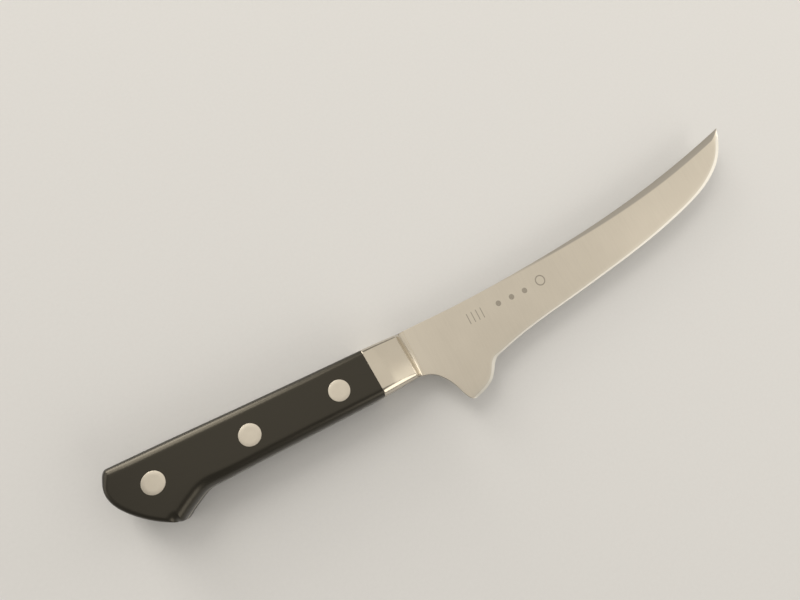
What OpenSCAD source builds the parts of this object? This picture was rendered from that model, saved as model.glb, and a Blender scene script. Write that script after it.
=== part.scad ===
// Boning knife with a three-layer blade, a full tang, a welded bolster and two riveted scales.
// +X runs from the butt to the point, +Y points to the spine, +Z stands square to the blade.
// The origin is on the outer flat of the left scale, on the axis of the middle rivet.

/* [Blade] */
// Reach of the blade's point from the middle rivet
tip_x = 231; // [226:0.5:240]
// Height of the point above the line of the rivets
tip_y = 30.2; // [27:0.1:33]
// Place of the lowest point of the heel along the knife
heel_x = 76; // [75:0.5:78]
// Depth of the heel below the line of the rivets
heel_depth = 23.8; // [22:0.1:26]
// Thickness of the steel in the tang and at the root of the blade
root_thickness = 1.8; // [1.4:0.1:2.4]
// Thickness of the spine close to the point
tip_thickness = 1; // [0.8:0.1:1.2]
// Thickness of the hard middle layer that carries the edge
core_thickness = 0.6; // [0.5:0.05:0.7]
// Thickness left at the shoulder of the edge bevel
shoulder_thickness = 0.34; // [0.2:0.02:0.4]
// Width of the edge bevel on each side
bevel_width = 0.9; // [0.5:0.1:1.2]
// Width of the flat strip along the spine, at the point
strip_width = 2.7; // [1:0.1:3.5]

/* [Bolster] */
// Middle of the joint between the bolster and the scales
joint_x = 45.5; // [44:0.1:46]
// How far the joint leans towards the point at the belly
joint_lean = 1; // [0:0.1:1.5]
// Front edge of the bolster, where the cove starts
bolster_front_x = 60; // [59.5:0.1:60.5]
// Thickness of the bolster at its front edge
bolster_front_thickness = 8.4; // [7:0.1:10]

/* [Handle] */
// Thickness over both scales
handle_thickness = 17; // [15:0.5:19]
// Reach of the butt behind the middle rivet
butt_reach = 46.8; // [45:0.1:49]
// Height of the spine above the rivets at the butt
butt_height = 10.8; // [10:0.1:12]
// Depth of the hooked tail at the butt, below the rivets
tail_depth = 15; // [14:0.1:17]
// Place of the tail's point behind the middle rivet
tail_x = 29.4; // [28:0.1:31]

/* [Rivets] */
// Distance between neighbouring rivets
rivet_pitch = 32.4; // [31:0.1:33]
// Diameter of the rivet heads
head_d = 7.5; // [6:0.1:9]
// Length of each rivet head
head_length = 3; // [2:0.1:4]
// Outer diameter of the rivet barrel
barrel_d = 4.4; // [3.6:0.1:5]
// Diameter of the pin pressed into the barrel
pin_d = 2.6; // [2:0.1:3]

/* [Hidden] */

mid_z = handle_thickness / 2;
root_half = root_thickness / 2;
tip_half = tip_thickness / 2;
core_half = core_thickness / 2;
shoulder_half = shoulder_thickness / 2;
edge_half = 0.02;
// Thickness of the cladding where it feathers out over the core
feather = 0.03;
// The tang's plate and the blade's loft share the stretch between these two stations
loft_x = 50;
tang_end_x = 52;
bolster_y = 9.45;
cove_end_x = bolster_front_x + 3.4;
// The cladding ends this far behind the point
clad_end_x = tip_x - 0.8;
level_steps = 5;
joint_top = [joint_x - joint_lean / 2, bolster_y];
joint_bottom = [joint_x + joint_lean / 2, -8.7];
bolster_slope = 0.8 / 14;
// Corner radii along the spine and the belly, at the joint and at the front of the bolster
spine_corner = 1.9;
belly_corner = 3.4;
front_corner = 1.8;

// Knots [x, y, slope] of the spine, from the bolster to the point
SPINE = [
    [joint_x - 2, bolster_y, 0],
    [bolster_front_x, bolster_y + 0.05, 0.015],
    [64, 9.7, 0.02],
    [84, 9.8, 0.02],
    [120, tip_y - 18.6, 0.075],
    [160, tip_y - 14.5, 0.14],
    [tip_x - 31, tip_y - 7.5, 0.215],
    [tip_x, tip_y, 0.275]
];
// Knots of the lower outline: bolster, back of the heel, heel, step, belly and point
EDGE = [
    [joint_bottom[0], joint_bottom[1], bolster_slope],
    [bolster_front_x, joint_bottom[1] + bolster_slope * (bolster_front_x - joint_bottom[0]), bolster_slope],
    [62, -7.9, -0.25],
    [68.5, -11.3, -1.15],
    [heel_x - 3, 4.3 - heel_depth, -3],
    [heel_x, -heel_depth, -0.1],
    [80, 0.7 - heel_depth, 0.28],
    [84.5, 2.6 - heel_depth, 0.6],
    [88, -17.5, 1.4],
    [91, -14.3, 0.5],
    [95, -13.1, 0.26],
    [120, -8.5, 0.13],
    [150, -4.3, 0.15],
    [180, 1, 0.22],
    [tip_x - 27, tip_y - 22.9, 0.33],
    [tip_x - 13, tip_y - 16.3, 0.65],
    [tip_x - 5, tip_y - 9, 1.3],
    [tip_x, tip_y - 0.3, 2.5]
];
// Knots [x, y, heading in degrees, corner radius] round the handle, from its spine to its belly
GRIP = [
    [joint_top[0], joint_top[1], 179, spine_corner],
    [0, 10.15, 179, 2.4],
    [-30, butt_height - 0.1, 179.4, 2.4],
    [2.8 - butt_reach, butt_height, 180, 1.4],
    [0.6 - butt_reach, butt_height - 2.6, 254, 1.4],
    [-butt_reach, 3.8, 271, 1.6],
    [6.8 - butt_reach, -7.8, 316, 1.6],
    [-tail_x - 1.2, 0.6 - tail_depth, 334, 0.7],
    [0.6 - tail_x, 0.3 - tail_depth, 35, 0.5],
    [-21, -10.1, 27, 1.6],
    [-13, -9.2, 1, belly_corner],
    [joint_bottom[0], joint_bottom[1], 1, belly_corner]
];

function clamp(v, low, high) = min(max(v, low), high);
function smooth(low, high, x) = let (t = clamp((x - low) / (high - low), 0, 1)) t * t * (3 - 2 * t);
function mix(a, b, t) = a + (b - a) * t;

// Cubic between two values with given end tangents
function cubic(a, ta, b, tb, t) =
    a * (2 * t * t * t - 3 * t * t + 1) + ta * (t * t * t - 2 * t * t + t)
    + b * (3 * t * t - 2 * t * t * t) + tb * (t * t * t - t * t);

// Height of a knotted outline at x
function rail(knots, x, i = 0) =
    i < len(knots) - 2 && x > knots[i + 1][0]
        ? rail(knots, x, i + 1)
        : let (a = knots[i], b = knots[i + 1], w = b[0] - a[0])
            cubic(a[1], w * a[2], b[1], w * b[2], (x - a[0]) / w);

// Slope of a knotted outline at x
function rail_slope(knots, x) = (rail(knots, x + 0.05) - rail(knots, x - 0.05)) / 0.1;

// Point [x, y, corner radius] on the handle's outline, t of the way from one knot to the next
function grip_point(a, b, t) =
    let (reach = norm([b[0] - a[0], b[1] - a[1]]))
    [
        cubic(a[0], reach * cos(a[2]), b[0], reach * cos(b[2]), t),
        cubic(a[1], reach * sin(a[2]), b[1], reach * sin(b[2]), t),
        mix(a[3], b[3], smooth(0, 1, t))
    ];
function grip_outline() = [
    for (i = [0 : len(GRIP) - 2])
        let (a = GRIP[i], b = GRIP[i + 1], steps = norm([b[0] - a[0], b[1] - a[1]]) > 20 ? 5 : 6)
            for (k = [0 : steps - 1]) grip_point(a, b, k / steps),
    grip_point(GRIP[len(GRIP) - 2], GRIP[len(GRIP) - 1], 1)
];
OUTLINE = grip_outline();

// Unit vector into the handle, square to the outline; along the joint at its two ends
function inward(i) =
    let (
        last = len(OUTLINE) - 1,
        joint = [joint_bottom[0] - joint_top[0], joint_bottom[1] - joint_top[1]],
        way = i == 0 ? [joint[0], joint[1]]
            : i == last ? [-joint[0], -joint[1]]
            : [OUTLINE[i - 1][1] - OUTLINE[i + 1][1], OUTLINE[i + 1][0] - OUTLINE[i - 1][0]]
    )
    way / norm(way);

function centre(ring) = [for (p = ring) 1] * ring / len(ring);

// Closed surface through rings of equal length; each end is a fan about the ring's centre, or one flat polygon
module loft(rings, fan = true) {
    n = len(rings[0]);
    m = len(rings);
    last = (m - 1) * n;
    corners = [for (ring = rings) each ring];
    sides = [
        for (i = [0 : m - 2], j = [0 : n - 1])
            let (k = (j + 1) % n, a = i * n + j, b = i * n + k)
                each [[a, a + n, b + n], [a, b + n, b]]
    ];
    fans = [
        for (j = [0 : n - 1])
            let (k = (j + 1) % n)
                each [[m * n, j, k], [m * n + 1, last + k, last + j]]
    ];
    flats = [[for (j = [0 : n - 1]) j], [for (j = [n - 1 : -1 : 0]) last + j]];
    if (fan)
        polyhedron(points = concat(corners, [centre(rings[0]), centre(rings[m - 1])]), faces = concat(sides, fans));
    else
        polyhedron(points = corners, faces = concat(sides, flats));
}

// Half thickness of the steel along the spine
function spine_half(x) =
    let (knots = [[60, root_half, 0], [tip_x - 14, tip_half, -0.005], [clad_end_x, core_half + feather, -0.02]])
    x < 60 ? root_half : x > clad_end_x ? core_half : rail(knots, x);
// Half thickness at the foot of the ground face, which is full along the back of the heel
function foot_half(x) =
    x < 60 ? root_half
        : x > heel_x ? shoulder_half
        : rail([[60, root_half, 0], [70, 0.5, -0.05], [heel_x, shoulder_half, -0.03]], x);
function sharp_half(x) = mix(foot_half(x), edge_half, smooth(heel_x - 1.5, heel_x + 1, x));

// Depths and half thicknesses of the blade at one station
function depth(x) = rail(SPINE, x) - rail(EDGE, x);
function bevel(x) =
    let (lean = sqrt(1 + pow(rail_slope(EDGE, min(x, tip_x - 0.1)), 2)))
    min(mix(0.02, bevel_width, smooth(heel_x - 1.5, heel_x + 1, x)) * lean, 0.4 * depth(x));
function strip(x) = min(mix(0.1, strip_width, smooth(100, 205, x)), 0.3 * depth(x));
function face_y(x, v) = mix(rail(EDGE, x) + bevel(x), rail(SPINE, x) - strip(x), v);
function face_half(x, v) = mix(foot_half(x), spine_half(x), pow(v, 0.95));

// Share of the ground face that the core takes, up from the bevel
function core_share(x) =
    let (rise = (core_half + feather - foot_half(x)) / max(spine_half(x) - foot_half(x), 0.01))
    clamp(pow(max(rise, 0), 1 / 0.95), 0.03, 0.97);

// Ring of the core at one station, down the right side and up the left side
function core_ring(x) =
    let (
        share = core_share(x),
        half = [
            [rail(SPINE, x), core_half],
            [face_y(x, share), core_half],
            [face_y(x, share / 2), min(core_half, face_half(x, share / 2))],
            [face_y(x, 0), min(core_half, foot_half(x))],
            [rail(EDGE, x), min(core_half, sharp_half(x))]
        ],
        n = len(half)
    )
    [
        for (p = half) [x, p[0], p[1]],
        for (i = [n - 1 : -1 : 0]) [x, half[i][0], -half[i][1]]
    ];

// Ring of the right cladding at one station
function cladding_ring(x) =
    let (
        blunt = foot_half(x) > core_half + feather,
        share = blunt ? 0 : core_share(x),
        end_y = blunt ? rail(EDGE, x) : face_y(x, share),
        end_half = max(face_half(x, share), core_half + feather)
    )
    [
        [x, rail(SPINE, x), core_half],
        [x, rail(SPINE, x), spine_half(x)],
        for (v = [1, 0.75, 0.5, 0.25])
            [x, face_y(x, mix(share, 1, v)), max(face_half(x, mix(share, 1, v)), core_half + feather)],
        [x, end_y, end_half],
        [x, end_y, core_half]
    ];

// Stations along the blade: close together at the heel, the step and the point
STATIONS = [
    loft_x, 56, 58.5,
    for (x = [60 : 1 : 72]) x,
    for (x = [72.5 : 0.5 : 78]) x,
    for (x = [79 : 1 : 95]) x,
    for (x = [100 : 5 : tip_x - 16]) x,
    for (x = [tip_x - 13 : 2 : tip_x - 3]) x,
    tip_x - 2
];

module tang_plate(low, high) {
    outline = [
        [tang_end_x, bolster_y],
        [loft_x, bolster_y],
        for (p = OUTLINE) [p[0], p[1]],
        [loft_x, rail(EDGE, loft_x)],
        [tang_end_x, rail(EDGE, tang_end_x)]
    ];
    translate([0, 0, low])
        linear_extrude(high - low)
            polygon(outline);
}

module rivet_holes(d) {
    for (i = [-1 : 1])
        translate([i * rivet_pitch, 0, -mid_z])
            cylinder(d = d, h = 2 * mid_z, $fn = 48);
}

module blade_core() {
    color("silver")
        translate([0, 0, mid_z])
            difference() {
                union() {
                    tang_plate(-core_half, core_half);
                    loft([for (x = concat(STATIONS, [tip_x - 1.2, tip_x])) core_ring(x)]);
                }
                rivet_holes(barrel_d);
            }
}

module cladding() {
    difference() {
        union() {
            tang_plate(core_half, root_half);
            loft([for (x = concat(STATIONS, [clad_end_x])) cladding_ring(x)]);
        }
        rivet_holes(barrel_d);
    }
}

module blade_cladding_right() {
    color("gainsboro")
        translate([0, 0, mid_z])
            cladding();
}

module blade_cladding_left() {
    color("gainsboro")
        translate([0, 0, mid_z])
            mirror([0, 0, 1])
                cladding();
}

// Ring of a bolster cheek: outer half thickness, corner radii, and x as a line in y
function cheek_ring(x_mid, lean, half, top_r, bottom_r) =
    let (
        top_y = rail(SPINE, x_mid),
        bottom_y = rail(EDGE, x_mid),
        high = half - root_half,
        rt = min(top_r, 0.9 * high),
        rb = min(bottom_r, 0.9 * high),
        arc = [for (k = [0 : level_steps]) k * 90 / level_steps],
        profile = [
            [top_y, root_half],
            for (a = arc) [top_y - rt * (1 - cos(a)), half - rt * (1 - sin(a))],
            for (a = arc) [bottom_y + rb * (1 - sin(a)), half - rb * (1 - cos(a))],
            [bottom_y, root_half]
        ]
    )
    [for (p = profile) [x_mid - lean * p[0] / (top_y - bottom_y), p[0], p[1]]];

module cheek() {
    front_half = bolster_front_thickness / 2;
    cove_r = front_half - root_half;
    body = [
        for (s = [0, 0.2, 0.4, 0.6, 0.8, 1])
            cheek_ring(
                mix(joint_x, bolster_front_x, s),
                joint_lean,
                mid_z - (mid_z - front_half) * pow(s, 1.5),
                spine_corner,
                mix(belly_corner, front_corner, s)
            )
    ];
    cove = [
        for (a = [15 : 15 : 90])
            cheek_ring(
                bolster_front_x + (cove_end_x - bolster_front_x) * (1 - cos(a)),
                joint_lean * cos(a),
                front_half - (cove_r - feather) * sin(a),
                spine_corner,
                front_corner
            )
    ];
    loft(concat(body, cove));
}

module bolster_right() {
    color("lightgray")
        translate([0, 0, mid_z])
            cheek();
}

module bolster_left() {
    color("lightgray")
        translate([0, 0, mid_z])
            mirror([0, 0, 1])
                cheek();
}

// Outline of the scale at one level of its rounded rim, from the flank at 0 to the flat face at 90
function scale_ring(angle) = [
    for (i = [0 : len(OUTLINE) - 1])
        let (p = OUTLINE[i], r = p[2], into = inward(i) * r * (1 - cos(angle)))
            [p[0] + into[0], p[1] + into[1], mid_z - r * (1 - sin(angle))]
];

module handle_scale() {
    difference() {
        loft(
            [
                [for (p = OUTLINE) [p[0], p[1], root_half]],
                for (k = [0 : level_steps]) scale_ring(k * 90 / level_steps)
            ],
            fan = false
        );
        rivet_holes(barrel_d);
        for (i = [-1 : 1])
            translate([i * rivet_pitch, 0, mid_z - head_length])
                cylinder(d = head_d, h = head_length + 1, $fn = 48);
    }
}

module handle_scale_right() {
    color("dimgray")
        translate([0, 0, mid_z])
            handle_scale();
}

module handle_scale_left() {
    color("dimgray")
        translate([0, 0, mid_z])
            mirror([0, 0, 1])
                handle_scale();
}

// Head and hollow barrel, from the right side
module rivet_barrel(x) {
    color("silver")
        translate([x, 0, mid_z])
            difference() {
                union() {
                    translate([0, 0, mid_z - head_length])
                        cylinder(d = head_d, h = head_length, $fn = 48);
                    translate([0, 0, head_length - mid_z])
                        cylinder(d = barrel_d, h = 2 * (mid_z - head_length), $fn = 48);
                }
                translate([0, 0, head_length - mid_z])
                    cylinder(d = pin_d, h = 2 * (mid_z - head_length) - 0.5, $fn = 48);
            }
}

// Head and solid pin, pressed into the barrel from the left side
module rivet_pin(x) {
    color("silver")
        translate([x, 0, 0])
            union() {
                cylinder(d = head_d, h = head_length, $fn = 48);
                cylinder(d = pin_d, h = handle_thickness - head_length - 1, $fn = 48);
            }
}

module rear_rivet_barrel() rivet_barrel(-rivet_pitch);
module rear_rivet_pin() rivet_pin(-rivet_pitch);
module middle_rivet_barrel() rivet_barrel(0);
module middle_rivet_pin() rivet_pin(0);
module front_rivet_barrel() rivet_barrel(rivet_pitch);
module front_rivet_pin() rivet_pin(rivet_pitch);

blade_core();
blade_cladding_right();
blade_cladding_left();
bolster_right();
bolster_left();
handle_scale_right();
handle_scale_left();
rear_rivet_barrel();
rear_rivet_pin();
middle_rivet_barrel();
middle_rivet_pin();
front_rivet_barrel();
front_rivet_pin();
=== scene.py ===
"""Boning knife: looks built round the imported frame. Lengths are millimetres until a mesh is made."""
import math

import bmesh
import bpy
import numpy as np
from mathutils import Euler, Matrix, Vector


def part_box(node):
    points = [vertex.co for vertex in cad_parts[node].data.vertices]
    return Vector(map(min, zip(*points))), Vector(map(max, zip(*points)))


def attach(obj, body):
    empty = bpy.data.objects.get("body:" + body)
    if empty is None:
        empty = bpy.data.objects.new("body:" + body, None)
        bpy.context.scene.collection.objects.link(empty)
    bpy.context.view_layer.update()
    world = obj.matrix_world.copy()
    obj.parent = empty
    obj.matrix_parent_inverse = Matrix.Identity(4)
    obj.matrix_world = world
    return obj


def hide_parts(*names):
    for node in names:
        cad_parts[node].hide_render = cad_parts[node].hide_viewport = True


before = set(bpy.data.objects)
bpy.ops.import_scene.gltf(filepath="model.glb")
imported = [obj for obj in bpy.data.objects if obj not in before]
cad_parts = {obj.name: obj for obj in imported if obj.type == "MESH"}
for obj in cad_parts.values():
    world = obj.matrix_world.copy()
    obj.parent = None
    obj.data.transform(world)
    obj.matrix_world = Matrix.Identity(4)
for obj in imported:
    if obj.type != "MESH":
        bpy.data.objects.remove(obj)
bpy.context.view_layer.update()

MM = 0.001
LAMP_COLOR = (1.0, 0.94, 0.84)


# ---------------------------------------------------------------- sizes from the frame
def node_box(node):
    """Lowest and highest corner of a CAD node, in millimetres."""
    low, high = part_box(node)
    return np.array(low) / MM, np.array(high) / MM


CORE_LOW, CORE_HIGH = node_box("blade_core")
SCALE_LOW, SCALE_HIGH = node_box("handle_scale_right")
BOLSTER_HIGH = node_box("bolster_right")[1]
MID_Z = (CORE_LOW[2] + CORE_HIGH[2]) / 2
CORE_HALF = (CORE_HIGH[2] - CORE_LOW[2]) / 2
ROOT_HALF = SCALE_LOW[2] - MID_Z
FACE_HALF = SCALE_HIGH[2] - MID_Z
TIP_X, TIP_Y = CORE_HIGH[0], CORE_HIGH[1]
# How far the curve of the heel dips past its own knot
HEEL_DIP = 0.0235
HEEL_DEPTH = -CORE_LOW[1] - HEEL_DIP
HEEL_X = 76.0
BUTT_REACH = -SCALE_LOW[0]
RIVETS = {name: sum(node_box(f"{name}_rivet_pin"))[0] / 2 for name in ("rear", "middle", "front")}
HEAD_R = (node_box("middle_rivet_pin")[1][0] - node_box("middle_rivet_pin")[0][0]) / 2

# ---------------------------------------------------------------- sizes of the finer shapes
JOINT_X, JOINT_LEAN = 45.5, 1.0
BOLSTER_FRONT_X = 60.0
BOLSTER_FRONT_HALF = 4.2
LIP_X = 59.4
LIP_STEP = 0.8
CHEEK_BEND = 1.5
CHEEK_CROWN = 0.34
BOLSTER_Y, BOLSTER_BELLY_Y = 9.45, -8.7
BOLSTER_SLOPE = 0.8 / 14
TIP_HALF = 0.5
SHOULDER_HALF = 0.17
EDGE_HALF = 0.015
SPINE_ROUND = 0.16
STRIP_WIDTH = 2.7
EASE = 0.22
# Below 1 the ground face bulges a little between the edge and the spine
FACE_BEND = 0.95
HEAD_LENGTH = 3.0
BARREL_R = 2.2
PIN_R = 1.3
# Clearance round a rivet head, and the eased corners of the scales' under side
HEAD_GAP = 0.02
UNDER_EASE = 0.07
# Last row of a scale before its joint with the bolster, and the bounds on the width of its rim
SCALE_END_X = 44.6
RIM_WIDEST = 4.6
RIM_SHARE = 0.62
# Softness of the borders of the mark on the blade
MARK_SOFT = 0.07
BUTT_HEIGHT = 10.8
TAIL_X, TAIL_DEPTH = 29.4, 15.0

# Knots [x, y, slope] of the spine, from the bolster to the point
SPINE = [
    [JOINT_X - 2, BOLSTER_Y, 0],
    [BOLSTER_FRONT_X, BOLSTER_Y + 0.05, 0.015],
    [64, 9.7, 0.02],
    [84, 9.8, 0.02],
    [120, TIP_Y - 18.6, 0.075],
    [160, TIP_Y - 14.5, 0.14],
    [TIP_X - 31, TIP_Y - 7.5, 0.215],
    [TIP_X, TIP_Y, 0.275],
]
# Knots of the lower outline: bolster, back of the heel, heel, step, belly and point
JOINT_BOTTOM_X = JOINT_X + JOINT_LEAN / 2
FRONT_BOTTOM_Y = BOLSTER_BELLY_Y + BOLSTER_SLOPE * (BOLSTER_FRONT_X - JOINT_BOTTOM_X)
EDGE = [
    [JOINT_BOTTOM_X, BOLSTER_BELLY_Y, BOLSTER_SLOPE],
    [BOLSTER_FRONT_X, FRONT_BOTTOM_Y, BOLSTER_SLOPE],
    [62, -7.9, -0.25],
    [68.5, -11.3, -1.15],
    [HEEL_X - 3, 4.3 - HEEL_DEPTH, -3],
    [HEEL_X, -HEEL_DEPTH, -0.1],
    [80, 0.7 - HEEL_DEPTH, 0.28],
    [84.5, 2.6 - HEEL_DEPTH, 0.6],
    [88, -17.5, 1.4],
    [91, -14.3, 0.5],
    [95, -13.1, 0.26],
    [120, -8.5, 0.13],
    [150, -4.3, 0.15],
    [180, 1, 0.22],
    [TIP_X - 27, TIP_Y - 22.9, 0.33],
    [TIP_X - 13, TIP_Y - 16.3, 0.65],
    [TIP_X - 5, TIP_Y - 9, 1.3],
    [TIP_X, TIP_Y - 0.3, 2.5],
]
# Knots [x, width] of the edge bevel, measured square to the edge
BEVEL = [[76, 0.8], [83, 1.0], [88, 1.3], [93, 0.7], [130, 0.7], [200, 0.95], [220, 1.4], [TIP_X, 1.6]]
# Knots [x, y, heading in degrees] round the handle, from its spine to its belly
GRIP = [
    [JOINT_X - JOINT_LEAN / 2, BOLSTER_Y, 179],
    [0, 10.15, 179],
    [-30, BUTT_HEIGHT - 0.1, 179.4],
    [2.8 - BUTT_REACH, BUTT_HEIGHT, 180],
    [0.6 - BUTT_REACH, BUTT_HEIGHT - 2.6, 254],
    [-BUTT_REACH, 3.8, 271],
    [6.8 - BUTT_REACH, -7.8, 316],
    [-TAIL_X - 1.2, 0.6 - TAIL_DEPTH, 334],
    [0.6 - TAIL_X, 0.3 - TAIL_DEPTH, 35],
    [-21, -10.1, 27],
    [-13, -9.2, 1],
    [JOINT_BOTTOM_X, BOLSTER_BELLY_Y, 1],
]
BUTT_KNOT = 5
TAIL_KNOT = 7
# Knots [x, radius] of the scales' rounded rim, on the spine and butt side and on the belly side
SPINE_RIM = [[-44, 2.7], [-36, 3.1], [-20, 3.1], [25, 2.8], [45, 2.0]]
BUTT_RIM = 1.5
BELLY_RIM = [[-29, 4.2], [-18, 4.2], [-8, 3.6], [20, 3.6], [45, 3.2]]


# ---------------------------------------------------------------- curves
def smooth(low, high, x):
    t = np.clip((np.asarray(x, float) - low) / (high - low), 0, 1)
    return t * t * (3 - 2 * t)


def cubic(a, ta, b, tb, t):
    """Cubic between two values with given end tangents."""
    first = a * (2 * t**3 - 3 * t**2 + 1) + ta * (t**3 - 2 * t**2 + t)
    return first + b * (3 * t**2 - 2 * t**3) + tb * (t**3 - t**2)


def rail(knots, x):
    """Heights of a knotted outline at each x."""
    x = np.asarray(x, float)
    knots = np.array(knots, float)
    i = np.clip(np.searchsorted(knots[:, 0], x, side="left") - 1, 0, len(knots) - 2)
    a, b = knots[i], knots[i + 1]
    w = b[..., 0] - a[..., 0]
    return cubic(a[..., 1], w * a[..., 2], b[..., 1], w * b[..., 2], (x - a[..., 0]) / w)


def level(knots, x):
    """Straight-line value between knots [x, value]."""
    knots = np.array(knots, float)
    return np.interp(x, knots[:, 0], knots[:, 1])


def grip_curve(first, last, step=0.35):
    """Points along the handle's outline from one knot to another, about a step apart."""
    points = []
    for a, b in zip(GRIP[first:last], GRIP[first + 1 : last + 1]):
        reach = math.hypot(b[0] - a[0], b[1] - a[1])
        ta, tb = math.radians(a[2]), math.radians(b[2])
        t = np.arange(0, 1, min(step / reach, 1 / 8))
        x = cubic(a[0], reach * math.cos(ta), b[0], reach * math.cos(tb), t)
        y = cubic(a[1], reach * math.sin(ta), b[1], reach * math.sin(tb), t)
        points.append(np.c_[x, y])
    points.append(np.array([GRIP[last][:2]], float))
    return np.concatenate(points)


GRIP_TOP = grip_curve(0, BUTT_KNOT)[::-1]
GRIP_BOTTOM = grip_curve(BUTT_KNOT, len(GRIP) - 1)


def top_y(x):
    """Upper outline of the whole steel, from the butt to the point."""
    x = np.asarray(x, float)
    return np.where(x < JOINT_X, np.interp(x, GRIP_TOP[:, 0], GRIP_TOP[:, 1]), rail(SPINE, x))


def bottom_y(x):
    x = np.asarray(x, float)
    return np.where(x < JOINT_X, np.interp(x, GRIP_BOTTOM[:, 0], GRIP_BOTTOM[:, 1]), rail(EDGE, x))


# ---------------------------------------------------------------- mesh helpers
def make_piece(name, verts, faces, replaces, sharp_angle):
    """A smooth-shaded piece from millimetre vertices, which stands for the CAD nodes it replaces."""
    mesh = bpy.data.meshes.new(name)
    corners = [tuple(v) for v in np.asarray(verts) * MM]
    mesh.from_pydata(corners, [], [tuple(int(i) for i in f) for f in faces])
    bm = bmesh.new()
    bm.from_mesh(mesh)
    bmesh.ops.remove_doubles(bm, verts=bm.verts, dist=2e-7)
    bmesh.ops.dissolve_degenerate(bm, edges=bm.edges, dist=1e-8)
    bmesh.ops.recalc_face_normals(bm, faces=bm.faces)
    bm.to_mesh(mesh)
    bm.free()
    piece = bpy.data.objects.new(name, mesh)
    bpy.context.collection.objects.link(piece)
    shade(piece, sharp_angle)
    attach(piece, "root")
    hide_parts(replaces)
    return piece


def shade(piece, sharp_angle):
    """Smooth shading, with every edge that turns more than the angle kept sharp."""
    bm = bmesh.new()
    bm.from_mesh(piece.data)
    limit = math.radians(sharp_angle)
    for face in bm.faces:
        face.smooth = True
    for edge in bm.edges:
        edge.smooth = len(edge.link_faces) == 2 and edge.calc_face_angle(0) < limit
    bm.to_mesh(piece.data)
    bm.free()


def loft(rings):
    """Vertices and faces through rings of equal length, with a flat polygon over each end."""
    rings = [np.asarray(r, float) for r in rings]
    n, m = len(rings[0]), len(rings)
    faces = []
    for i in range(m - 1):
        for j in range(n):
            k = (j + 1) % n
            faces.append((i * n + j, (i + 1) * n + j, (i + 1) * n + k, i * n + k))
    faces.append(tuple(range(n)))
    faces.append(tuple(range((m - 1) * n, m * n))[::-1])
    return np.concatenate(rings), faces


def turned(profile, sides=96):
    """Vertices and faces of a profile [radius, z] turned about the Z axis; its ends lie on the axis."""
    angles = np.arange(sides) * 2 * np.pi / sides
    verts = [[0, 0, profile[0][1]]]
    for r, z in profile[1:-1]:
        verts += [[r * math.cos(a), r * math.sin(a), z] for a in angles]
    verts.append([0, 0, profile[-1][1]])
    rows = len(profile) - 2
    last = len(verts) - 1
    faces = []
    for j in range(sides):
        k = (j + 1) % sides
        faces.append((0, 1 + j, 1 + k))
        for i in range(rows - 1):
            a = 1 + i * sides
            faces.append((a + j, a + sides + j, a + sides + k, a + k))
        a = 1 + (rows - 1) * sides
        faces.append((a + j, last, a + k))
    return np.array(verts, float), faces


def cut_holes(piece, radius, depth_from, depth_to, chamfer=0.0):
    """Drills a row of holes through a piece, on the rivets' axes, between two heights."""
    for x in RIVETS.values():
        profile = [
            [0, depth_from], [radius, depth_from], [radius, depth_to - chamfer],
            [radius + chamfer, depth_to], [radius + chamfer, depth_to + 1], [0, depth_to + 1],
        ]
        verts, faces = turned(profile)
        drill_mesh = bpy.data.meshes.new("drill")
        drill_mesh.from_pydata([tuple(v) for v in (verts + [x, 0, 0]) * MM], [], faces)
        bm = bmesh.new()
        bm.from_mesh(drill_mesh)
        bmesh.ops.recalc_face_normals(bm, faces=bm.faces)
        bm.to_mesh(drill_mesh)
        bm.free()
        drill = bpy.data.objects.new("drill", drill_mesh)
        bpy.context.collection.objects.link(drill)
        cut = piece.modifiers.new("hole", "BOOLEAN")
        cut.operation = "DIFFERENCE"
        cut.solver = "EXACT"
        cut.object = drill
        with bpy.context.temp_override(object=piece, active_object=piece):
            bpy.ops.object.modifier_apply(modifier=cut.name)
        bpy.data.objects.remove(drill)
        bpy.data.meshes.remove(drill_mesh)


def mirrored(verts):
    """The same points on the other side of the blade's middle plane."""
    return verts * [1, 1, -1] + [0, 0, 2 * MID_Z]


# ---------------------------------------------------------------- blade
def spine_half(x):
    """Half thickness of the steel along the spine: full along the tang, then a taper to the point."""
    taper_end = TIP_X - 0.8
    knots = [
        [BOLSTER_FRONT_X, ROOT_HALF, 0],
        [TIP_X - 14, TIP_HALF, -0.005],
        [taper_end, CORE_HALF + 0.03, -0.02],
    ]
    return rail(knots, np.clip(x, BOLSTER_FRONT_X, taper_end))


def foot_half(x):
    """Half thickness at the foot of the ground face, full along the back of the heel."""
    knots = [[BOLSTER_FRONT_X, ROOT_HALF, 0], [70, 0.5, -0.05], [HEEL_X, SHOULDER_HALF, -0.03]]
    return rail(knots, np.clip(x, BOLSTER_FRONT_X, HEEL_X))


def sharpness(x):
    """0 along the tang and the back of the heel, 1 where the edge is sharp."""
    return smooth(HEEL_X - 1.5, HEEL_X + 1.5, x)


def bevel_depth(x):
    """Depth of the edge bevel, or of the eased corner where there is no edge, measured along Y."""
    x_in = np.clip(x, -BUTT_REACH + 0.3, TIP_X - 0.1)
    slope = (bottom_y(x_in + 0.05) - bottom_y(x_in - 0.05)) / 0.1
    width = SPINE_ROUND + (level(BEVEL, x) - SPINE_ROUND) * sharpness(x)
    return np.minimum(width * np.sqrt(1 + np.minimum(slope**2, 12)), 0.42 * (top_y(x) - bottom_y(x)))


def strip_depth(x):
    """Depth of the flat strip along the spine."""
    return np.minimum(0.3 + (STRIP_WIDTH - 0.3) * smooth(95, 205, x), 0.32 * (top_y(x) - bottom_y(x)))


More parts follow.
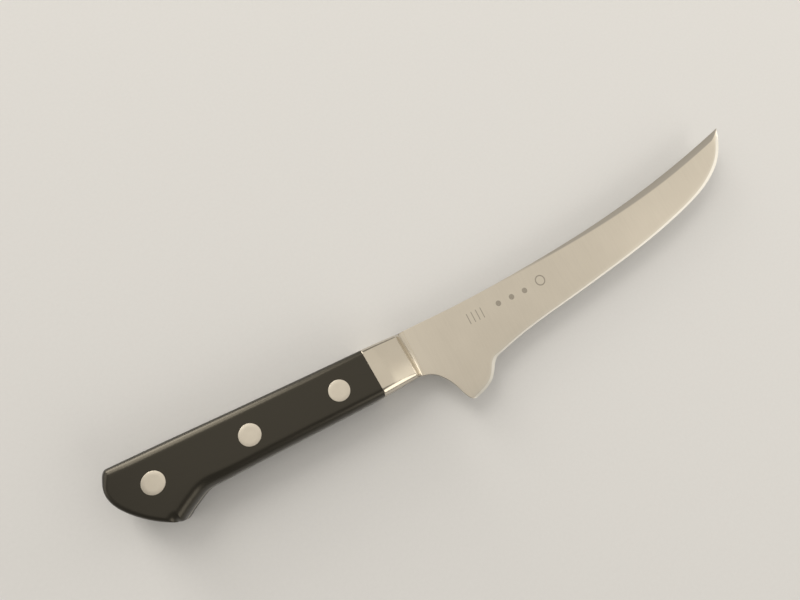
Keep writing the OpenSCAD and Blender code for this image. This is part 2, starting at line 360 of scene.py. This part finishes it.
def face_share(x):
    """Share of the ground face, from its foot, where the steel is thinner than the core layer."""
    rise = (CORE_HALF - foot_half(x)) / np.maximum(spine_half(x) - foot_half(x), 0.01)
    return np.clip(np.maximum(rise, 0) ** (1 / FACE_BEND), 0, 0.98)


def ground_face(x, v):
    """Points [y, half thickness] of the ground face, from its foot at 0 to the strip at 1."""
    y_low = bottom_y(x) + bevel_depth(x)
    y_high = top_y(x) - strip_depth(x)
    half = foot_half(x) + (spine_half(x) - foot_half(x)) * v**FACE_BEND
    return np.array([y_low + (y_high - y_low) * v, half])


def edge_profile(x, limit):
    """Points [y, half thickness] from the foot of the face down to the edge or to the eased corner."""
    depth = bevel_depth(x)
    sharp = sharpness(x)
    foot = foot_half(x)
    end = (foot - SPINE_ROUND) * (1 - sharp) + EDGE_HALF * sharp
    points = []
    for t in (0.0, 0.12, 0.3, 0.5, 0.72, 0.9, 1.0):
        round_corner = math.sqrt(max(1 - t * t, 0))
        blade_edge = 1 - t ** 1.12
        share = round_corner * (1 - sharp) + blade_edge * sharp
        points.append([bottom_y(x) + depth * (1 - t), min(end + (foot - end) * share, limit)])
    return points


def steel_stations():
    """Stations from the butt to the point, close together where the outline turns."""
    butt = -BUTT_REACH + 0.02 + 4 * np.linspace(0, 1, 22) ** 2
    tail = np.arange(-TAIL_X - 2.4, -TAIL_X + 2.4, 0.2)
    return np.unique(
        np.concatenate(
            [
                butt,
                np.arange(-BUTT_REACH + 5, -TAIL_X - 2.5, 1.0),
                tail,
                np.arange(-TAIL_X + 3, -12, 1.0),
                np.arange(-10, 44, 6.0),
                np.arange(45.5, 60, 2.0),
                np.arange(60, 71, 0.5),
                np.arange(71, 79, 0.25),
                np.arange(79, 96, 0.5),
                np.arange(96, TIP_X - 25, 1.5),
                np.arange(TIP_X - 25, TIP_X - 4, 0.75),
                np.arange(TIP_X - 4, TIP_X - 0.2, 0.25),
            ]
        ).round(4)
    )


def core_ring(x):
    half = [[top_y(x), CORE_HALF]]
    share = max(float(face_share(x)), 0.02)
    for v in (1.0, 0.66, 0.33):
        y, h = ground_face(x, share * v)
        half.append([y, min(h, CORE_HALF)])
    half += edge_profile(x, CORE_HALF)
    ring = [[x, y, MID_Z + h] for y, h in half]
    return ring + [[x, y, MID_Z - h] for y, h in half[::-1]]


def blade_core():
    stations = np.append(steel_stations(), [TIP_X - 0.1, TIP_X])
    rings = [core_ring(x) for x in stations]
    verts, faces = loft(rings)
    piece = make_piece("core_layer", verts, faces, "blade_core", 24)
    finish_and_highlight_marks(piece)
    cut_holes(piece, BARREL_R, -1, 2 * MID_Z)
    return piece


def cladding_ring(x):
    share = float(face_share(x))
    spine = spine_half(x)
    corner = min(SPINE_ROUND, 0.7 * (spine - CORE_HALF))
    y_top = top_y(x)
    half = [[y_top, CORE_HALF]]
    for a in np.radians([0, 30, 60, 90]):
        half.append([y_top - corner * (1 - math.cos(a)), spine - corner * (1 - math.sin(a))])
    for s in (0.6, 0.9):
        half.append([y_top - strip_depth(x) * s, spine])
    for v in (1.0, 0.97, 0.9, 0.78, 0.64, 0.5, 0.36, 0.22, 0.1, 0.0):
        y, h = ground_face(x, share + (1 - share) * v)
        half.append([y, max(h, CORE_HALF)])
    if share <= 0:
        half += edge_profile(x, 99)[1:]
    else:
        half += [half[-1]] * 6
    half.append([half[-1][0], CORE_HALF])
    return [[x, y, MID_Z + h] for y, h in half]


def blade_cladding(side):
    stations = np.append(steel_stations(), TIP_X - 0.75)
    stations = np.unique(stations[stations <= TIP_X - 0.7])
    verts, faces = loft([cladding_ring(x) for x in stations])
    if side == "left":
        verts = mirrored(verts)
    node = f"blade_cladding_{side}"
    piece = make_piece(f"cladding_layer_{side}", verts, faces, node, 24)
    finish_and_highlight_marks(piece)
    cut_holes(piece, BARREL_R, -1, 2 * MID_Z)
    return piece


def finish_and_highlight_marks(piece):
    """Stores where each mark lies: 1 on the dull strip along the spine, and 1 on the edge bevel, which
    the steel shader paints brighter as a painted highlight.
    """
    count = len(piece.data.vertices)
    co = np.empty(count * 3)
    piece.data.vertices.foreach_get("co", co)
    x, y = co.reshape(-1, 3).T[:2] / MM
    into_strip = y - (top_y(x) - strip_depth(x))
    strip = smooth(-0.12, 0.12, into_strip) * smooth(96, 135, x)
    into_bevel = bottom_y(x) + bevel_depth(x) - y
    bevel = smooth(-0.05, 0.12, into_bevel) * sharpness(x)
    for key, values in (("strip", strip), ("bevel", bevel)):
        mark = piece.data.attributes.new(key, "FLOAT", "POINT")
        mark.data.foreach_set("value", values.astype(np.float32))


# ---------------------------------------------------------------- bolster
def cheek_profile():
    """Stations [x, lean, half thickness, inset] along a cheek: eased back edge, tapered body, cove."""
    back = [
        [JOINT_X + EASE * (1 - math.cos(a)), JOINT_LEAN, FACE_HALF, EASE * (1 - math.sin(a))]
        for a in np.radians([0, 30, 60, 90])
    ]
    drop = FACE_HALF - BOLSTER_FRONT_HALF
    length = BOLSTER_FRONT_X - JOINT_X
    body = []
    for x in np.linspace(JOINT_X + 0.6, LIP_X - 0.4, 22):
        body.append([x, JOINT_LEAN, FACE_HALF - drop * ((x - JOINT_X) / length) ** CHEEK_BEND, 0.0])
    lip_half = FACE_HALF - drop * ((LIP_X - JOINT_X) / length) ** CHEEK_BEND
    cove_end = BOLSTER_HIGH[0]
    knots = [
        [LIP_X, lip_half, -CHEEK_BEND * drop / length],
        [LIP_X + LIP_STEP, lip_half - 1.0, -1.7],
        [cove_end, ROOT_HALF + 0.004, -0.03],
    ]
    lip_xs = np.linspace(LIP_X, LIP_X + LIP_STEP, 8)
    cove_xs = np.linspace(LIP_X + 1, cove_end, 16)
    cove = []
    for x in np.concatenate([lip_xs, cove_xs]):
        lean = JOINT_LEAN * (1 - smooth(BOLSTER_FRONT_X, cove_end, x))
        cove.append([x, float(lean), float(rail(knots, x)), 0.0])
    return back + body + cove


def cheek_ring(x_mid, lean, half, inset):
    """One ring of a cheek: rounded along the spine and the belly, with a slightly crowned face."""
    y_top, y_bottom = float(rail(SPINE, x_mid)), float(rail(EDGE, x_mid))
    high = half - ROOT_HALF
    forward = (x_mid - JOINT_X) / (BOLSTER_FRONT_X - JOINT_X)
    r_top = min(2.0 - 0.5 * forward, 0.92 * high)
    r_bottom = min(3.2 - 1.3 * forward, 0.92 * high)
    side_half = ROOT_HALF + 0.35 * high
    profile = [[y_top - inset, ROOT_HALF], [y_top - inset, side_half]]
    r = r_top - inset
    for a in np.radians(np.arange(0, 91, 9)):
        profile.append([y_top - inset - r * (1 - math.cos(a)), half - inset - r * (1 - math.sin(a))])
    y_left, y_right = y_top - r_top, y_bottom + r_bottom
    for t in (0.1, 0.25, 0.5, 0.75, 0.9):
        profile.append([y_left + (y_right - y_left) * t, half - inset])
    r = r_bottom - inset
    for a in np.radians(np.arange(90, -1, -6)):
        profile.append([y_bottom + inset + r * (1 - math.cos(a)), half - inset - r * (1 - math.sin(a))])
    profile += [[y_bottom + inset, side_half], [y_bottom + inset, ROOT_HALF]]
    tall = y_top - y_bottom
    crown = min(CHEEK_CROWN * forward, 0.9 * high) / high
    ring = []
    for y, h in profile:
        across = 2 * (y - (y_top + y_bottom) / 2) / tall
        high_here = (h - ROOT_HALF) * (1 - crown * across**2)
        ring.append([x_mid - lean * y / tall, y, MID_Z + ROOT_HALF + high_here])
    return ring


def bolster(side):
    verts, faces = loft([cheek_ring(*station) for station in cheek_profile()])
    if side == "left":
        verts = mirrored(verts)
    return make_piece(f"bolster_cheek_{side}", verts, faces, f"bolster_{side}", 40)


# ---------------------------------------------------------------- handle scales
FAN_X = -36.0
RIM_STEPS = 14


def distance(points, line):
    """Distance of each point from a polyline, and how far along it the nearest place is in X."""
    a, b = line[:-1], line[1:]
    ab = b - a
    rel = points[:, None, :] - a[None]
    t = np.clip((rel * ab).sum(2) / (ab**2).sum(1), 0, 1)
    near = a + ab * t[..., None]
    gap = np.linalg.norm(points[:, None, :] - near, axis=2)
    best = gap.argmin(1)
    rows = np.arange(len(points))
    return gap[rows, best], near[rows, best, 0]


def rim_drop(points):
    """How far the rounded rim has fallen below the flat face at each point of the plan."""
    upper = grip_curve(0, TAIL_KNOT)
    upper[0] += [6, -0.1]
    lower = grip_curve(TAIL_KNOT, len(GRIP) - 1)
    lower[-1] += [6, 0.1]
    gap, near_x = distance(points, upper)
    r = BUTT_RIM + (level(SPINE_RIM, near_x) - BUTT_RIM) * smooth(4, 9, points[:, 1])
    top = np.where(gap < r, r - np.sqrt(np.maximum(r**2 - (r - gap) ** 2, 0)), 0)
    gap, near_x = distance(points, lower)
    r = level(BELLY_RIM, near_x)
    under = np.where(gap < r, r - np.sqrt(np.maximum(r**2 - (r - gap) ** 2, 0)), 0)
    return np.maximum(top, under)


def joint_shift(y):
    """How far the leaning joint lies from its middle at a height."""
    return -JOINT_LEAN * y / (BOLSTER_Y - BOLSTER_BELLY_Y)


def scale_spokes():
    """Outline points of one scale, each with the place inside that its row of vertices runs to."""
    xs = np.unique(
        np.concatenate(
            [
                np.arange(FAN_X, -TAIL_X - 2, 0.6), np.arange(-TAIL_X - 2, -TAIL_X + 2, 0.15),
                np.arange(-TAIL_X + 2, -14, 0.5), np.arange(-14, 44, 1.5), [SCALE_END_X],
            ]
        ).round(4)
    )
    pull = smooth(20, SCALE_END_X, xs)
    end = np.where(xs >= SCALE_END_X, JOINT_X, xs)
    top = np.c_[end + joint_shift(BOLSTER_Y) * pull, np.zeros(len(xs))]
    top[:, 1] = np.interp(top[:, 0], GRIP_TOP[:, 0], GRIP_TOP[:, 1])
    low = np.c_[end + joint_shift(BOLSTER_BELLY_Y) * pull, np.zeros(len(xs))]
    low[:, 1] = np.interp(low[:, 0], GRIP_BOTTOM[:, 0], GRIP_BOTTOM[:, 1])
    inner = np.c_[end, np.zeros(len(xs))]
    butt_top = GRIP_TOP[GRIP_TOP[:, 0] < FAN_X - 0.1][::-1]
    butt_low = GRIP_BOTTOM[1:][GRIP_BOTTOM[1:, 0] < FAN_X - 0.1]
    butt = np.concatenate([butt_top, butt_low])
    outer = np.concatenate([top[::-1], butt, low])
    hub = np.tile([[FAN_X, 0.0]], (len(butt), 1))
    return outer, np.concatenate([inner[::-1], hub, inner])


def handle_scale(side):
    outer, inner = scale_spokes()
    n = len(outer)
    reach = np.linalg.norm(outer - inner, axis=1)
    step_in = 1 - np.cos(np.linspace(0, np.pi / 2, RIM_STEPS))
    rim = np.minimum(RIM_WIDEST, RIM_SHARE * reach)
    rows = [outer + (inner - outer) * (step_in[k] * rim / reach)[:, None] for k in range(RIM_STEPS)]
    for t in (0.35, 0.7, 1.0):
        share = (rim + (reach - rim) * t) / reach
        rows.append(outer + (inner - outer) * share[:, None])
    depth = len(rows)
    plan = np.concatenate(rows)
    top = np.c_[plan, MID_Z + FACE_HALF - rim_drop(plan)]
    bottom = np.c_[plan, np.full(len(plan), MID_Z + ROOT_HALF)]
    skirt = np.c_[outer, np.full(n, MID_Z + ROOT_HALF + UNDER_EASE)]
    bottom[:n, :2] += (inner - outer) * (UNDER_EASE / reach)[:, None]
    verts = np.concatenate([top, bottom, skirt])
    low, brim = n * depth, 2 * n * depth
    faces = []
    for j in range(n - 1):
        for k in range(depth - 1):
            a, b = k * n + j, (k + 1) * n + j
            faces.append((a, b, b + 1, a + 1))
            faces.append((low + a, low + a + 1, low + b + 1, low + b))
        faces.append((j, j + 1, brim + j + 1, brim + j))
        faces.append((brim + j, brim + j + 1, low + j + 1, low + j))
    top_row = [k * n for k in range(depth)] + [k * n + n - 1 for k in range(depth - 2, -1, -1)]
    low_row = [low + i for i in top_row]
    faces.append(tuple(top_row + [brim + n - 1] + low_row[::-1] + [brim]))
    if side == "left":
        verts = mirrored(verts)
    piece = make_piece(f"scale_{side}", verts, faces, f"handle_scale_{side}", 36)
    if side == "right":
        cut_holes(piece, HEAD_R + HEAD_GAP, MID_Z + FACE_HALF - HEAD_LENGTH, MID_Z + FACE_HALF, 0.05)
    else:
        cut_holes_below(piece)
    cut_holes(piece, BARREL_R, -1, 2 * MID_Z + 1)
    shade(piece, 36)
    return piece


def cut_holes_below(piece):
    """Counterbores in the left scale: the same cut as on the right, turned over."""
    piece.data.transform(flip_matrix())
    cut_holes(piece, HEAD_R + HEAD_GAP, MID_Z + FACE_HALF - HEAD_LENGTH, MID_Z + FACE_HALF, 0.05)
    piece.data.transform(flip_matrix())
    bm = bmesh.new()
    bm.from_mesh(piece.data)
    bmesh.ops.recalc_face_normals(bm, faces=bm.faces)
    bm.to_mesh(piece.data)
    bm.free()


def flip_matrix():
    """Mirror about the blade's middle plane, in metres."""
    return Matrix.Translation((0, 0, 2 * MID_Z * MM)) @ Matrix.Diagonal((1, 1, -1, 1))


# ---------------------------------------------------------------- rivets
def head_profile(face_z, way):
    """Profile [radius, z] of a head with a softly rounded rim, from its face inwards."""
    crown, rim = 0.004, 0.05
    rim_r = HEAD_R - rim
    points = [[0, face_z], [HEAD_R * 0.6, face_z - way * crown * 0.3], [rim_r, face_z - way * crown]]
    for a in np.radians([30, 60, 90]):
        fall = crown + rim * (1 - math.cos(a))
        points.append([rim_r + rim * math.sin(a), face_z - way * fall])
    points.append([HEAD_R, face_z - way * HEAD_LENGTH])
    return points


def rivet_barrel(name):
    face = MID_Z + FACE_HALF
    far = MID_Z - FACE_HALF + HEAD_LENGTH
    profile = head_profile(face, 1)
    profile += [[BARREL_R, face - HEAD_LENGTH], [BARREL_R, far], [PIN_R, far]]
    profile += [[PIN_R, face - HEAD_LENGTH - 0.5], [0, face - HEAD_LENGTH - 0.5]]
    verts, faces = turned(profile)
    verts = verts + [RIVETS[name], 0, 0]
    return make_piece(f"{name}_barrel", verts, faces, f"{name}_rivet_barrel", 32)


def rivet_pin(name):
    profile = head_profile(MID_Z - FACE_HALF, -1)
    end = MID_Z + FACE_HALF - HEAD_LENGTH - 1
    profile += [[PIN_R, MID_Z - FACE_HALF + HEAD_LENGTH], [PIN_R, end - 0.3]]
    profile += [[PIN_R - 0.3, end], [0, end]]
    verts, faces = turned(profile)
    verts = verts + [RIVETS[name], 0, 0]
    return make_piece(f"{name}_pin", verts, faces, f"{name}_rivet_pin", 32)


# ---------------------------------------------------------------- materials
class Shader:
    """A small helper that adds and links the nodes of one material."""

    def __init__(self, name):
        self.material = bpy.data.materials.new(name)
        self.material.use_nodes = True
        self.tree = self.material.node_tree
        self.bsdf = self.tree.nodes["Principled BSDF"]
        coords = self.tree.nodes.new("ShaderNodeTexCoord")
        self.place = self.math_vector("MULTIPLY", coords.outputs["Object"], (1 / MM, 1 / MM, 1 / MM))

    def link(self, source, target):
        self.tree.links.new(source, target)

    def feed(self, value, socket):
        if hasattr(value, "is_output"):
            self.link(value, socket)
        else:
            socket.default_value = value

    def math(self, operation, *values, clamp=False):
        node = self.tree.nodes.new("ShaderNodeMath")
        node.operation = operation
        node.use_clamp = clamp
        for value, socket in zip(values, node.inputs):
            self.feed(value, socket)
        return node.outputs[0]

    def math_vector(self, operation, *values):
        node = self.tree.nodes.new("ShaderNodeVectorMath")
        node.operation = operation
        for value, socket in zip(values, node.inputs):
            self.feed(value, socket)
        return node.outputs["Value"] if operation in ("LENGTH", "DISTANCE") else node.outputs[0]

    def noise(self, scale, detail=3.0, rough=0.5, stretch=(1, 1, 1)):
        """Noise with grains of about 1/scale millimetres, longer along an axis with a small stretch."""
        node = self.tree.nodes.new("ShaderNodeTexNoise")
        node.inputs["Scale"].default_value = scale
        node.inputs["Detail"].default_value = detail
        node.inputs["Roughness"].default_value = rough
        self.link(self.math_vector("MULTIPLY", self.place, stretch), node.inputs["Vector"])
        return node.outputs["Fac"]

    def spread(self, value, low, high):
        """Maps a 0 to 1 value to a range."""
        return self.math("MULTIPLY_ADD", value, high - low, low)

    def attribute(self, key):
        node = self.tree.nodes.new("ShaderNodeAttribute")
        node.attribute_name = key
        return node.outputs["Fac"]

    def mix(self, share, a, b):
        node = self.tree.nodes.new("ShaderNodeMix")
        node.data_type = "RGBA"
        for value, key in ((share, 0), (a, 6), (b, 7)):
            plain = key == 0 or hasattr(value, "is_output")
            self.feed(value if plain else (*value, 1), node.inputs[key])
        return node.outputs[2]

    def step(self, value, edge, soft):
        """1 where the value is below the edge, 0 above it, with a soft change."""
        node = self.tree.nodes.new("ShaderNodeMapRange")
        node.interpolation_type = "SMOOTHSTEP"
        self.feed(value, node.inputs["Value"])
        node.inputs["From Min"].default_value = edge - soft
        node.inputs["From Max"].default_value = edge + soft
        node.inputs["To Min"].default_value = 1
        node.inputs["To Max"].default_value = 0
        return node.outputs["Result"]

    def bump(self, height, depth, strength=1.0):
        """Bump from a 0 to 1 height, with its depth in millimetres."""
        node = self.tree.nodes.new("ShaderNodeBump")
        node.inputs["Strength"].default_value = strength
        node.inputs["Distance"].default_value = depth * MM
        self.link(height, node.inputs["Height"])
        self.link(node.outputs["Normal"], self.bsdf.inputs["Normal"])

    def finish(self, color, roughness, metallic=0.0, **settings):
        self.feed(color if hasattr(color, "is_output") else (*color, 1), self.bsdf.inputs["Base Color"])
        self.feed(roughness, self.bsdf.inputs["Roughness"])
        self.bsdf.inputs["Metallic"].default_value = metallic
        for key, value in settings.items():
            self.bsdf.inputs[key.replace("_", " ")].default_value = value
        return self.material


def ring_mask(s, x, y, radius, width):
    """1 on a ring round a place on the blade, 0 elsewhere."""
    away = s.math_vector("SUBTRACT", s.place, (x, y, 0))
    gap = s.math_vector("LENGTH", s.math_vector("MULTIPLY", away, (1, 1, 0)))
    off = s.math("ABSOLUTE", s.math("SUBTRACT", gap, radius))
    return s.step(off, width / 2, MARK_SOFT)


def bar_mask(s, x, y, width, height):
    """1 on an upright bar centred on a place on the blade, 0 elsewhere."""
    node = s.tree.nodes.new("ShaderNodeSeparateXYZ")
    s.link(s.place, node.inputs[0])
    across = s.step(s.math("ABSOLUTE", s.math("SUBTRACT", node.outputs[0], x)), width / 2, MARK_SOFT)
    along = s.step(s.math("ABSOLUTE", s.math("SUBTRACT", node.outputs[1], y)), height / 2, MARK_SOFT)
    return s.math("MULTIPLY", across, along)


def etched_mark(s):
    """A plain generic mark: a ring, three dots and a few ruled lines, with no lettering."""
    parts = [ring_mask(s, 121.3, 4.3, 1.9, 0.5)]
    parts += [ring_mask(s, x, 3.4, 0.55, 1.1) for x in (101.5, 107.5, 113.5)]
    parts += [bar_mask(s, x, 3.0, 0.35, 4.2) for x in (88, 90, 92, 94)]
    total = parts[0]
    for part in parts[1:]:
        total = s.math("MAXIMUM", total, part)
    node = s.tree.nodes.new("ShaderNodeSeparateXYZ")
    s.link(s.place, node.inputs[0])
    upper = s.math("GREATER_THAN", node.outputs[2], MID_Z)
    return s.math("MULTIPLY", total, upper)


def blend(s, first, second, share):
    """Weighted sum of two values, with this share of the first."""
    return s.math("ADD", s.math("MULTIPLY", first, share), s.math("MULTIPLY", second, 1 - share))


def blade_steel(name, marked):
    """Satin steel with grind lines across the blade, a duller spine strip and a painted highlight on
    the edge bevel, whose colour is lightened.
    """
    s = Shader(name)
    lines = s.noise(9, 4, 0.6, (1, 0.06, 1))
    streaks = s.noise(1.6, 3, 0.6, (1, 0.05, 1))
    cloud = s.noise(0.05, 2, 0.5)
    strip, bevel = s.attribute("strip"), s.attribute("bevel")
    tone = blend(s, blend(s, lines, streaks, 0.4), cloud, 0.55)
    color = s.mix(tone, (0.56, 0.52, 0.455), (0.72, 0.675, 0.595))
    color = s.mix(strip, color, (0.4, 0.377, 0.343))
    # Painted highlight: the edge bevel's colour is lightened to stand for the light its tilted face
    # catches.
    color = s.mix(bevel, color, (0.85, 0.835, 0.79))
    rough = s.spread(blend(s, lines, streaks, 0.5), 0.26, 0.42)
    rough = s.math("ADD", rough, s.math("MULTIPLY", strip, 0.05))
    height = s.math("MULTIPLY", lines, s.math("SUBTRACT", 1.0, bevel))
    if marked:
        mark = etched_mark(s)
        worn = s.math("MULTIPLY", mark, s.spread(s.noise(4, 2, 0.5), 0.35, 0.85))
        color = s.mix(worn, color, (0.2, 0.185, 0.16))
        rough = s.math("ADD", rough, s.math("MULTIPLY", mark, 0.25))
        height = s.math("SUBTRACT", height, s.math("MULTIPLY", mark, 2.0))
    s.bump(height, 0.0015)
    return s.finish(color, rough, metallic=1.0)


def bolster_steel():
    """Polished steel with faint polishing lines along the knife."""
    s = Shader("bolster_steel")
    lines = s.noise(7, 4, 0.6, (0.08, 1, 1))
    color = s.mix(s.noise(0.12, 2, 0.5), (0.6, 0.555, 0.475), (0.66, 0.615, 0.535))
    s.bump(lines, 0.0012)
    return s.finish(color, s.spread(lines, 0.13, 0.19), metallic=1.0)


def rivet_steel():
    """Rivet heads sanded flush, with sanding lines along the handle."""
    s = Shader("rivet_steel")
    lines = s.noise(8, 4, 0.6, (0.08, 1, 1))
    color = s.mix(s.noise(0.5, 2, 0.5), (0.65, 0.605, 0.53), (0.71, 0.665, 0.585))
    s.bump(lines, 0.0015)
    return s.finish(color, s.spread(lines, 0.3, 0.4), metallic=1.0)


def laminate():
    """Black resin-filled wood: fine grain and flecks along the handle, with a satin sheen."""
    s = Shader("scale_laminate")
    grain = s.noise(2.2, 5, 0.6, (0.05, 1, 1.4))
    fleck = s.noise(14, 3, 0.6, (0.12, 1, 1))
    both = blend(s, grain, fleck, 0.6)
    color = s.mix(both, (0.001, 0.0009, 0.0006), (0.006, 0.0055, 0.004))
    s.bump(both, 0.004, 0.6)
    sheen = {"Specular_IOR_Level": 0.7, "Specular_Tint": (1, 0.93, 0.78, 1)}
    return s.finish(color, s.spread(both, 0.28, 0.36), **sheen)


def floor_paper():
    """Plain pale matt paper."""
    s = Shader("floor_paper")
    fine = s.noise(0.8, 3, 0.5)
    color = s.mix(fine, (0.66, 0.67, 0.69), (0.69, 0.7, 0.72))
    return s.finish(color, 0.9)


def dress(piece, material):
    piece.data.materials.clear()
    piece.data.materials.append(material)


# ---------------------------------------------------------------- stage
def camera():
    """A short lens close above the handle, rolled so that the knife rises to the right."""
    data = bpy.data.cameras.new("camera")
    data.sensor_width = 36
    data.lens = 27.05
    data.clip_start = 0.01
    view = bpy.data.objects.new("camera", data)
    view.location = (0.01472, -0.01616, 0.2233)
    view.rotation_euler = Euler([math.radians(a) for a in (14.806, -8.038, -27.367)])
    bpy.context.collection.objects.link(view)
    bpy.context.scene.camera = view


def area_light(name, place, aim, size, glow, color=LAMP_COLOR):
    """A soft panel; glow is its brightness against a white world of strength 1."""
    data = bpy.data.lights.new(name, "AREA")
    data.shape = "RECTANGLE"
    data.size, data.size_y = size
    data.energy = 4 * glow * size[0] * size[1]
    data.color = color
    lamp = bpy.data.objects.new(name, data)
    lamp.location = place
    lamp.rotation_euler = (Vector(aim) - Vector(place)).to_track_quat("-Z", "Y").to_euler()
    bpy.context.collection.objects.link(lamp)


def lights():
    """Soft panels: ceiling for the flat steel, far panels for the cove, windows for the spine's rim."""
    middle = (0.06, 0.0, 0.0)
    area_light("ceiling", (0.16, 0.3, 0.62), (0.16, 0.3, 0), (0.82, 0.9), 0.45)
    area_light("far_dim", (1.17, 0.5, 0.36), (1.014, 0.5, 0), (0.88, 1.3), 0.4)
    area_light("far_bright", (1.17, -0.04, 0.36), (1.014, -0.04, 0), (0.2, 1.3), 0.72)
    area_light("low_lamp", (1.0, -0.12, 0.24), middle, (0.34, 0.24), 1.8)
    area_light("window", (-0.46, 2.15, 0.56), (0, 0, 0), (0.88, 0.95), 6)
    area_light("high_window", (-0.28, 1.32, 1.3), (0, 0, 0), (0.75, 1.1), 3)
    area_light("side_wall", (-1.3, 0.7, 0.8), (0, 0, 0), (1.6, 1.2), 0.9)
    area_light("fill", (0.6, -0.67, 0.5), middle, (1.1, 0.6), 1.3)
    world = bpy.data.worlds.new("studio")
    world.use_nodes = True
    background = world.node_tree.nodes["Background"]
    background.inputs["Color"].default_value = (*LAMP_COLOR, 1)
    background.inputs["Strength"].default_value = 0.28
    bpy.context.scene.world = world
    bpy.context.scene.view_settings.view_transform = "Standard"


def floor():
    bpy.ops.mesh.primitive_plane_add(size=6, location=(0.09, 0, 0))
    plane = bpy.context.active_object
    plane.name = "floor"
    plane.data.materials.append(floor_paper())


# ---------------------------------------------------------------- scene
camera()
lights()
floor()

core_finish = blade_steel("core_steel", False)
cladding_finish = blade_steel("cladding_steel", True)
bolster_finish, rivet_finish, scale_finish = bolster_steel(), rivet_steel(), laminate()

dress(blade_core(), core_finish)
for side in ("right", "left"):
    dress(blade_cladding(side), cladding_finish)
    dress(bolster(side), bolster_finish)
    dress(handle_scale(side), scale_finish)
for name in RIVETS:
    dress(rivet_barrel(name), rivet_finish)
    dress(rivet_pin(name), rivet_finish)
